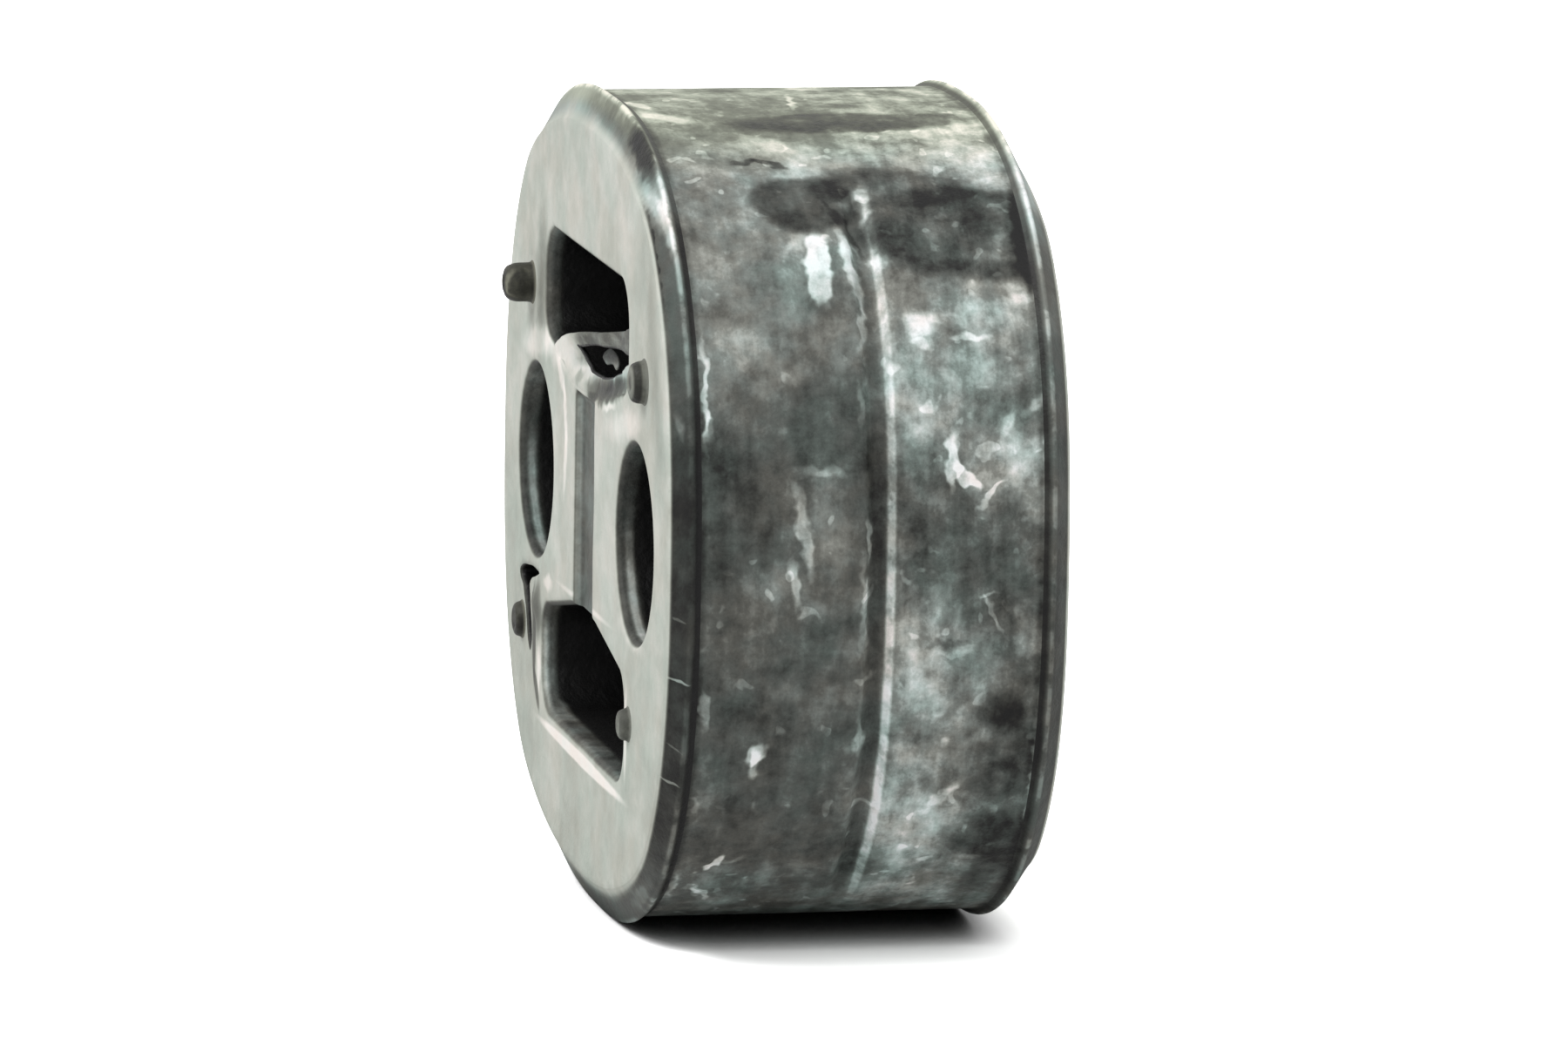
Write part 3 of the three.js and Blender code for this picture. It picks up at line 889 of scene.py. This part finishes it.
class Surface(Graph):
    """The coordinates and noises that all the rubber's materials share."""

    def __init__(self, name):
        self.material = bpy.data.materials.new(name)
        super().__init__(self.material)
        at = self.add("ShaderNodeTexCoord").outputs["Object"]
        scaled = self.add("ShaderNodeVectorMath", {0: at, "Scale": 1 / MM}, operation="SCALE")
        self.mm = scaled.outputs["Vector"]
        place = self.vector("SUBTRACT", self.mm, (0, FRONT, MIDDLE_Z))
        split = self.add("ShaderNodeSeparateXYZ", {0: place})
        self.x, self.depth, self.z = split.outputs
        self.height = self.math("DIVIDE", self.z, BLOCK_HEIGHT / 2)
        from_back = self.math("SUBTRACT", BLOCK_DEPTH, self.depth)
        self.near = self.math("MINIMUM", self.depth, from_back)

        self.clouds = self.swing(0.13, 4.0, 0.6, 0.2)
        self.blotches = self.swing(0.42, 4.0, 0.6, 0.25)
        flecks = self.swing(1.3, 3.0, 0.6, 0.1)
        self.grain = self.swing(4.5, 3.0, 0.65)
        streaks = self.swing(1.0, 3.0, 0.55, 0.0, (0.12, 0.8, 0.12))
        parts = ((self.clouds, 0.9), (self.blotches, 0.6), (flecks, 0.26), (self.grain, 0.14), (streaks, 0.34))
        self.mottle = self.blend(*parts)
        self.haze = self.blend((self.clouds, 0.22), (self.blotches, 0.10), (self.mottle, 0.05))

    def swing(self, scale, detail, roughness, distortion=0.0, stretch=(1, 1, 1)):
        """Noise about 0, with features of about 1 / scale millimetres."""
        at = self.vector("MULTIPLY", self.mm, stretch)
        return self.math("SUBTRACT", self.noise(at, scale, detail, roughness, distortion)["Fac"], 0.5)

    def blend(self, *parts):
        """The sum of values, each times its share."""
        total = 0.0
        for value, share in parts:
            total = self.add("ShaderNodeMath", {0: value, 1: share, 2: total}, operation="MULTIPLY_ADD").outputs[0]
        return total

    def number(self, share, a, b):
        """Between two numbers."""
        return self.add("ShaderNodeMix", {0: share, 2: a, 3: b}).outputs[0]

    def wandered(self, vector, scale, reach, detail=1.5):
        """Coordinates moved a little about, so that no mark has a clean edge."""
        other = self.vector("ADD", self.mm, (41, 7, 23))
        shifts = [self.noise(at, scale, detail, 0.5)["Fac"] for at in (self.mm, other)]
        a, b = (self.math("MULTIPLY", self.math("SUBTRACT", shift, 0.5), reach) for shift in shifts)
        return self.vector("ADD", vector, self.add("ShaderNodeCombineXYZ", {0: a, 1: b}).outputs[0])

    def plain_face(self):
        """The bloom level of a face without marks."""
        return self.smooth(self.height, -0.5, 0.2, 0.77, 0.80)

    def face_level(self):
        """Pale bloom on the faces, with the front face's own marks, among them painted highlights and painted shade.
        """
        front = self.add("ShaderNodeCombineXYZ", {0: self.x, 1: self.z}).outputs[0]
        marks = strokes_on(self, self.wandered(front, 0.8, 1.0), FACE_STROKES, 0.0)
        marks = strokes_on(self, front, FACE_LINES, marks)
        marks = self.math("MULTIPLY", marks, self.smooth(self.depth, 14, 12))
        return self.blend((self.plain_face(), 1.0), (marks, 1.0), (self.haze, 1.0))

    def rubber(self, level, brown=0.0):
        """The shader for a bloom level."""
        colour = self.ramp(level, TONES)
        tint = self.noise(self.mm, 0.22, 3.0, 0.6)["Fac"]
        warm = self.ramp(tint, [(0.36, (1.0, 0.92, 0.86)), (0.5, (1.0, 1.0, 0.97)), (0.64, (0.90, 1.0, 0.96))])
        flat = self.smooth(self.near, 0.6, 0.1)
        warm = self.mix(self.smooth(flat, 0, 1, 1.0, 0.35), (1.0, 1.0, 1.0, 1), warm)
        warm = self.mix(flat, warm, self.mix(1.0, warm, (1.035, 0.975, 0.90, 1), "MULTIPLY"))
        olive = self.math("MULTIPLY", self.smooth(self.height, 0.86, 0.97), self.smooth(self.near, 0.3, 0.9))
        warm = self.mix(olive, warm, (1.0, 0.96, 0.80, 1))
        warm = self.mix(brown, warm, (1.0, 0.90, 0.74, 1))
        colour = self.mix(1.0, colour, warm, "MULTIPLY")
        shine = self.smooth(level, 0.1, 0.8, 0.5, 0.85)
        pores = {"Strength": 0.25, "Distance": 0.12 * MM, "Height": self.grain}
        pores = self.add("ShaderNodeBump", pores).outputs[0]
        dents = self.noise(self.mm, 1.1, 3.0, 0.6)["Fac"]
        dents = {"Strength": 0.35, "Distance": 0.3 * MM, "Height": dents, "Normal": pores}
        dents = self.add("ShaderNodeBump", dents).outputs[0]
        sockets = {"Base Color": colour, "Roughness": shine, "Normal": dents, "Specular IOR Level": 0.25}
        shader = self.add("ShaderNodeBsdfPrincipled", sockets)
        result = self.add("ShaderNodeOutputMaterial")
        self.tree.links.new(shader.outputs[0], result.inputs["Surface"])
        return self.material


def band_place(g):
    """Coordinates along the rim and across it, from the front."""
    angle = g.math("ARCTAN2", g.height, g.math("DIVIDE", g.x, BLOCK_WIDTH / 2))
    return g.add("ShaderNodeCombineXYZ", {0: g.math("MULTIPLY", angle, ALONG_RADIUS), 1: g.depth}).outputs[0]


def band_material():
    """Bloom on the band, with its smears and marks, painted shade behind its lips, and its groove, with painted shade
    and a painted highlight.
    """
    g = Surface("bloomed_band")
    band = band_place(g)
    level = g.smooth(g.height, 0.15, 0.78, 0.30, 0.535)
    level = g.math("ADD", level, g.smooth(g.height, 0.9, 1.0, 0.05, 0.13))
    rear = g.smooth(g.depth, 13.4, 15.6)
    band_rear = g.math("MULTIPLY", rear, g.smooth(g.height, 0.85, 0.4, 0.04, 0.14))
    contrast = g.math("ADD", 1.0, g.math("MULTIPLY", rear, 0.3))
    level = g.blend((level, 1.0), (band_rear, 1.0), (g.math("MULTIPLY", g.mottle, contrast), 1.0))
    petals = g.swing(0.75, 1.0, 0.4, 0.4)
    pale = g.math("MULTIPLY", g.smooth(petals, 0.15, 0.21, 0.0, 0.17), g.smooth(g.clouds, -0.06, 0.04, 0.2, 1.0))
    level = g.math("ADD", level, pale)
    level = strokes_on(g, g.wandered(band, 0.3, 2.0), BAND_CLOUDS, level)
    level = strokes_on(g, g.wandered(band, 0.9, 1.3), BAND_STROKES, level)

    # The groove: painted shade on its floor, between its front edge and its rear wall, which carries a painted
    # highlight, stronger low down.
    in_height = g.smooth(g.math("ABSOLUTE", g.z), 24.5, 20.0)
    floor = g.math("MULTIPLY", g.smooth(g.depth, 12.8, 13.4), g.smooth(g.depth, 14.4, 13.9))
    wall = g.math("MULTIPLY", g.smooth(g.depth, 14.15, 14.4), g.smooth(g.depth, 14.9, 14.65))
    fading = g.smooth(g.blotches, -0.12, 0.08, 0.7, 1.0)
    bright = g.smooth(g.z, 12, 4, 0.26, 0.38)
    painted_groove_light = g.blend((g.math("MULTIPLY", wall, fading), bright), (g.math("MULTIPLY", floor, fading), -0.18))
    level = g.math("ADD", level, g.math("MULTIPLY", painted_groove_light, in_height))
    # Painted shade in the creases behind the lips darkens the band's edges.
    edge = g.math("MULTIPLY", g.smooth(g.near, 2.5, 2.0), -0.16)
    return g.rubber(g.math("ADD", level, edge))


def rim_material():
    """Chamfers, painted shade in the creases behind the lips, and a pale line on their crests: worn, with a painted
    highlight added on the rear lip.
    """
    g = Surface("bloomed_rim")
    dark = g.math("ADD", g.smooth(g.height, 0.15, 0.7, 0.12, 0.34), g.smooth(g.height, 0.74, 0.84, 0.0, 0.26))
    low = g.math("ADD", g.smooth(g.height, -0.6, -0.92, 0.0, 0.14), g.smooth(g.depth, 12, 14, 0.0, 0.10))
    level = g.blend((g.mottle, 0.5), (dark, 1.0), (low, 1.0))
    out_of_sight = g.smooth(g.x, 3, -9, 0.0, 0.85)
    out_of_sight = g.math("MULTIPLY", out_of_sight, g.smooth(g.near, 1.5, 1.3))
    level = g.number(out_of_sight, level, g.math("ADD", g.haze, 0.72))
    crest = g.math("MULTIPLY", g.smooth(g.near, 1.02, 1.22), g.smooth(g.near, 1.55, 1.36))
    worn = g.smooth(g.math("ABSOLUTE", g.height), 0.1, 0.7, 0.05, 0.30)
    worn = g.math("MULTIPLY", worn, g.smooth(g.blotches, -0.1, 0.08, 0.3, 1.1))
    worn = g.math("MULTIPLY", worn, g.smooth(g.depth, 12, 14, 1.0, 0.25))
    # On the rear lip's crest a painted highlight, where its step faces the light.
    rear = g.math("MULTIPLY", g.smooth(g.depth, 12, 14), g.smooth(g.blotches, -0.08, 0.05, 0.12, 0.26))
    level = g.math("ADD", level, g.math("MULTIPLY", crest, g.math("ADD", worn, rear)))
    # Painted shade in the creases behind the lips, darker towards the top.
    crease = g.smooth(g.near, 1.5, 1.72)
    level = g.math("ADD", level, g.math("MULTIPLY", crease, g.smooth(g.height, 0.3, 0.9, -0.16, -0.34)))
    level = strokes_on(g, g.wandered(band_place(g), 1.1, 0.5), RIM_STROKES, level)
    ends = g.smooth(g.math("ABSOLUTE", g.height), 0.75, 1.0, 0.30, 0.75)
    face = g.math("ADD", g.haze, g.plain_face())
    return g.rubber(g.number(g.smooth(g.near, ends, 0.1), level, face))


def face_material():
    """The faces and the holes: the bloom stops just inside them, and their walls carry painted light low down and
    painted shade further in.
    """
    g = Surface("bloomed_face")
    # Grey walls with a pale strip low down on their left, a painted highlight where they face up to the light, and
    # black painted shade further in.
    side, up = g.math("ABSOLUTE", g.x), g.math("ABSOLUTE", g.z)
    in_bore = g.math("MULTIPLY", g.smooth(side, 9.5, 10.5), g.smooth(up, 8.0, 7.0))
    in_bore_low = g.smooth(g.z, 3, -3, 0.04, 0.50)
    in_window_low = g.math("MULTIPLY", g.smooth(g.z, -9, -12, 0.06, 0.34), g.smooth(g.x, -12, -14, 0.2, 1.0))
    painted_light_strip = g.number(in_bore, in_window_low, in_bore_low)
    starts = g.number(in_bore, 0.0, 0.45)
    painted_light_strip = g.math("MULTIPLY", painted_light_strip, g.smooth(g.near, starts, g.math("ADD", starts, 0.4)))
    ends = g.number(in_bore, 0.75, 1.45)
    painted_light_strip = g.math("MULTIPLY", painted_light_strip, g.smooth(g.near, ends, g.math("SUBTRACT", ends, 0.4)))
    wall = g.blend((g.mottle, 0.9), (painted_light_strip, 1.0), (in_bore, -0.06), (0.32, 1.0))
    painted_hollow_shade = g.math("MULTIPLY", g.mottle, 0.03)
    # Behind the skin the wall is black almost from its mouth: painted shade under the skin.
    shade_behind_skin = g.math("MULTIPLY", g.smooth(g.x, -13.5, -12), g.smooth(g.z, 10.4, 9.9))
    shade_behind_skin = g.math("MULTIPLY", shade_behind_skin, g.smooth(g.z, 6.5, 7.0))
    goes = g.number(shade_behind_skin, g.number(in_bore, g.smooth(g.z, -15.8, -16.3, 0.8, 1.3), 1.15), 0.25)
    inner = g.number(g.smooth(g.near, goes, g.math("ADD", goes, 0.6)), wall, painted_hollow_shade)
    inner = g.number(g.smooth(g.near, 0.04, 0.22), g.face_level(), inner)
    along_channel = g.math("MULTIPLY", g.smooth(side, 3.95, 3.8), g.smooth(up, 8.8, 8.0))
    along_channel = g.math("MULTIPLY", along_channel, g.smooth(g.z, 7.0, 6.2))
    in_channel = g.math("MULTIPLY", g.smooth(g.depth, 0.08, 0.25), g.smooth(g.depth, 1.2, 0.9))
    channel = g.blend((g.smooth(g.depth, 0.45, 0.65, 0.60, 0.42), 1.0), (g.mottle, 0.5))
    return g.rubber(g.number(g.math("MULTIPLY", along_channel, in_channel), inner, channel))


def stub_material():
    """Cut rubber without bloom."""
    g = Surface("cut_rubber")
    front = g.add("ShaderNodeCombineXYZ", {0: g.x, 1: g.z}).outputs[0]
    on_right = g.smooth(g.x, -1, 1)
    where = g.wandered(front, 1.2, 0.6)
    plain = g.blend((g.mottle, 0.8), (on_right, 0.14), (0.22, 1.0))
    cut = strokes_on(g, where, STUB_STROKES, plain)
    # The upper right one is pale on its end, a painted highlight, black round its tip, painted shade, and grey at its
    # root.
    upper_right = g.math("MULTIPLY", on_right, g.smooth(g.z, -1, 1))
    side = g.smooth(g.depth, -0.3, -0.5, 0.46, 0.14)
    side = g.number(g.smooth(g.depth, -0.80, -0.96), side, 0.58)
    cut = g.number(upper_right, cut, g.blend((g.mottle, 0.5), (side, 1.0)))
    brown = g.math("SUBTRACT", 1.0, on_right)
    return g.rubber(g.number(g.smooth(g.depth, -0.02, -0.2), 0.5, cut), brown=brown)


def bare_and_shaded_tear_material():
    """Bare rubber at the edge of the tear and the skin's hole, and black painted shade further in."""
    g = Surface("tear_inside_bare_and_shaded")
    return g.rubber(g.smooth(g.depth, 0.25, 0.05, 0.0, 0.3))


def skin_material():
    """The torn skin: white where it joins the web, and blue-grey along its stretched edge."""
    g = Surface("torn_skin")
    below_edge = g.blend((g.x, -SKIN_CLIMB / (SKIN_RIGHT - SKIN_LEFT)), (g.z, 1.0))
    edge = WINDOW_INNER + SKIN_RISE - SKIN_CLIMB * SKIN_LEFT / (SKIN_RIGHT - SKIN_LEFT)
    strand = g.math("MULTIPLY", g.smooth(below_edge, edge - 2.3, edge - 1.5), g.smooth(g.x, -7, 0))
    streaked = g.vector("MULTIPLY", g.mm, (0.25, 1, 1))
    streaks = g.math("SUBTRACT", g.noise(streaked, 1.6, 3.0, 0.6)["Fac"], 0.5)
    level = g.blend((g.face_level(), 1.0), (strand, -0.40), (g.math("MULTIPLY", streaks, strand), 0.8))
    level = g.math("SUBTRACT", level, g.smooth(g.depth, 0.75, 1.1, 0.0, 0.18))
    return g.rubber(level)


def seen_directly(graph):
    """1 for what the camera sees, straight or in a gloss or a glass, and 0 for the light on the object."""
    path = graph.add("ShaderNodeLightPath").outputs
    clear = graph.math("MAXIMUM", path["Is Glossy Ray"], path["Is Transmission Ray"])
    return graph.math("MAXIMUM", path["Is Camera Ray"], clear)


def floor_material():
    """White where the lamps reach it, and darker only where the object shades it."""
    material = bpy.data.materials.new("studio_floor")
    graph = Graph(material)
    # The camera sees the cloth brighter than it lights the block, and most of all in front of the block, where this
    # painted light washes out the block's shadow.
    in_front = graph.add("ShaderNodeSeparateXYZ", {0: graph.add("ShaderNodeTexCoord").outputs["Object"]}).outputs["Y"]
    bright = graph.smooth(in_front, (FRONT + 7) * MM, FRONT * MM)
    bright = graph.mix(bright, (2.0, 2.0, 2.0, 1), (5.0, 5.0, 5.0, 1))
    cloth = graph.mix(graph.add("ShaderNodeLightPath").outputs["Is Camera Ray"], (0.85, 0.85, 0.85, 1), bright)
    # Ambient occlusion darkens the cloth's colour near the block: a painted contact shadow.
    shade = {"Color": cloth, "Distance": 3 * MM}
    painted_contact_shadow = graph.add("ShaderNodeAmbientOcclusion", shade, samples=8).outputs["Color"]
    shader = graph.add("ShaderNodeBsdfDiffuse", {"Color": painted_contact_shadow})
    result = graph.add("ShaderNodeOutputMaterial")
    graph.tree.links.new(shader.outputs[0], result.inputs["Surface"])
    return material


def make_studio():
    """The floor, the white surroundings and two soft lamps."""
    size = 6.0  # metres from the middle to the floor's edge
    mesh = bpy.data.meshes.new("floor")
    mesh.from_pydata([(-size, -size, 0), (size, -size, 0), (size, size, 0), (-size, size, 0)], [], [(0, 1, 2, 3)])
    floor = bpy.data.objects.new("floor", mesh)
    bpy.context.scene.collection.objects.link(floor)
    mesh.materials.append(floor_material())

    world = bpy.data.worlds.new("studio")
    bpy.context.scene.world = world
    graph = Graph(world)
    strength = graph.math("ADD", 0.5, graph.math("MULTIPLY", seen_directly(graph), 0.5))
    sky = graph.add("ShaderNodeBackground", {"Color": (1, 1, 1, 1), "Strength": strength})
    result = graph.add("ShaderNodeOutputWorld")
    graph.tree.links.new(sky.outputs[0], result.inputs["Surface"])

    lamp("key", azimuth=12, elevation=48, strength=1.6, softness=30)
    lamp("fill", azimuth=105, elevation=50, strength=1.1, softness=60)


def direction(azimuth, elevation):
    """Towards an azimuth and elevation in radians. Azimuth 0 is in front, and a quarter turn is on the right."""
    level = math.cos(elevation)
    return Vector((math.sin(azimuth) * level, -math.cos(azimuth) * level, math.sin(elevation)))


def lamp(name, azimuth, elevation, strength, softness):
    """A soft distant lamp, with its angles in degrees."""
    light = bpy.data.lights.new(name, "SUN")
    light.energy = strength
    light.angle = math.radians(softness)
    made = bpy.data.objects.new(name, light)
    towards = direction(math.radians(azimuth), math.radians(elevation))
    made.rotation_euler = towards.to_track_quat("Z", "Y").to_euler()
    bpy.context.scene.collection.objects.link(made)


def make_camera():
    """The photograph's view, from the right, slightly above and in front of the block."""
    azimuth, elevation, roll = math.radians(79.36), math.radians(9.146), math.radians(-0.762)
    distance, pixel = 754.0, 0.058  # a pixel's size at the front face
    picture = (1800, 1200)
    front_centre = (669.4, 574.7)  # where the front face's centre is in the picture
    target = Vector((0, FRONT, MIDDLE_Z))
    back = direction(azimuth, elevation)
    level_right = Vector((math.cos(azimuth), math.sin(azimuth), 0))
    level_up = back.cross(level_right)
    right = level_right * math.cos(roll) - level_up * math.sin(roll)
    up = level_up * math.cos(roll) + level_right * math.sin(roll)
    place = target + back * distance
    aside, above = picture[0] / 2 - front_centre[0], front_centre[1] - picture[1] / 2
    aim = target + right * aside * pixel + up * above * pixel
    toward = (place - aim).normalized()
    across = up.cross(toward).normalized()
    frame_matrix = Matrix((across, toward.cross(across), toward)).transposed().to_4x4()
    frame_matrix.translation = place * MM
    lens = bpy.data.cameras.new("camera")
    lens.sensor_width = 36
    lens.lens = lens.sensor_width * distance / (picture[0] * pixel)
    lens.clip_start = 0.01
    camera = bpy.data.objects.new("camera", lens)
    camera.matrix_world = frame_matrix
    bpy.context.scene.collection.objects.link(camera)
    bpy.context.scene.camera = camera


make_camera()
make_studio()
bpy.context.scene.view_settings.view_transform = "Standard"

bare_and_shaded_inside = bare_and_shaded_tear_material()
block = make_block(bare_and_shaded_inside)
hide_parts("rubber_block")
skin = make_skin(bare_and_shaded_inside)
for piece in (block, skin):
    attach(piece, "root")
